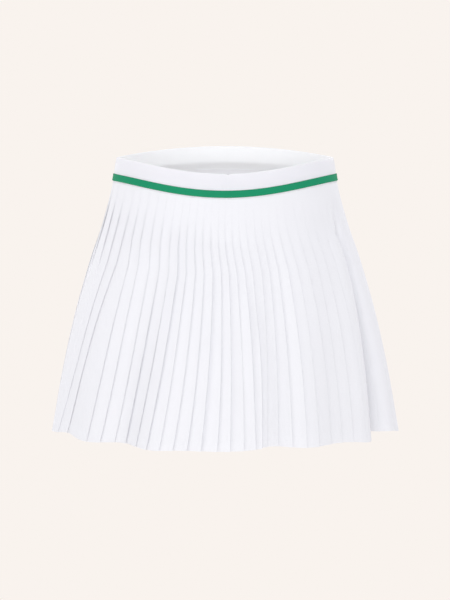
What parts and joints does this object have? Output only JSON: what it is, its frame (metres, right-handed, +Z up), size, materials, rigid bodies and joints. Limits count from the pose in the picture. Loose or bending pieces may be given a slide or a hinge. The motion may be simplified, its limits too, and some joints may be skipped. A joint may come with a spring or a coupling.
{
  "type": "tennis skirt",
  "caption": "Short white tennis skirt of knife-pleated cloth, flared, with a shaped knit waistband with a green stripe, in its hollow worn form.",
  "frame": {"origin": "centre of the waist opening, level with the middle of the waistband at the side seams, where the wearer holds the skirt", "axes": "+Z up, -Y the way the wearer faces, +X to the right as seen by someone facing the wearer; the skirt is widest along X"},
  "size_m": [0.4367, 0.3237, 0.3563],
  "materials": {
    "white_pleated_cloth": "light woven polyester, pressed in permanent knife pleats, faint sheen",
    "white_waistband_knit": "firm double knit over elastic, matte",
    "green_tape": "finely ribbed woven tape, matte"
  },
  "bodies": {
    "root": {"waistband_front": "white_waistband_knit", "waistband_back": "white_waistband_knit", "stripe_front": "green_tape", "stripe_back": "green_tape", "pleats_front": "white_pleated_cloth", "pleats_back": "white_pleated_cloth"}
  },
  "joints": []
}
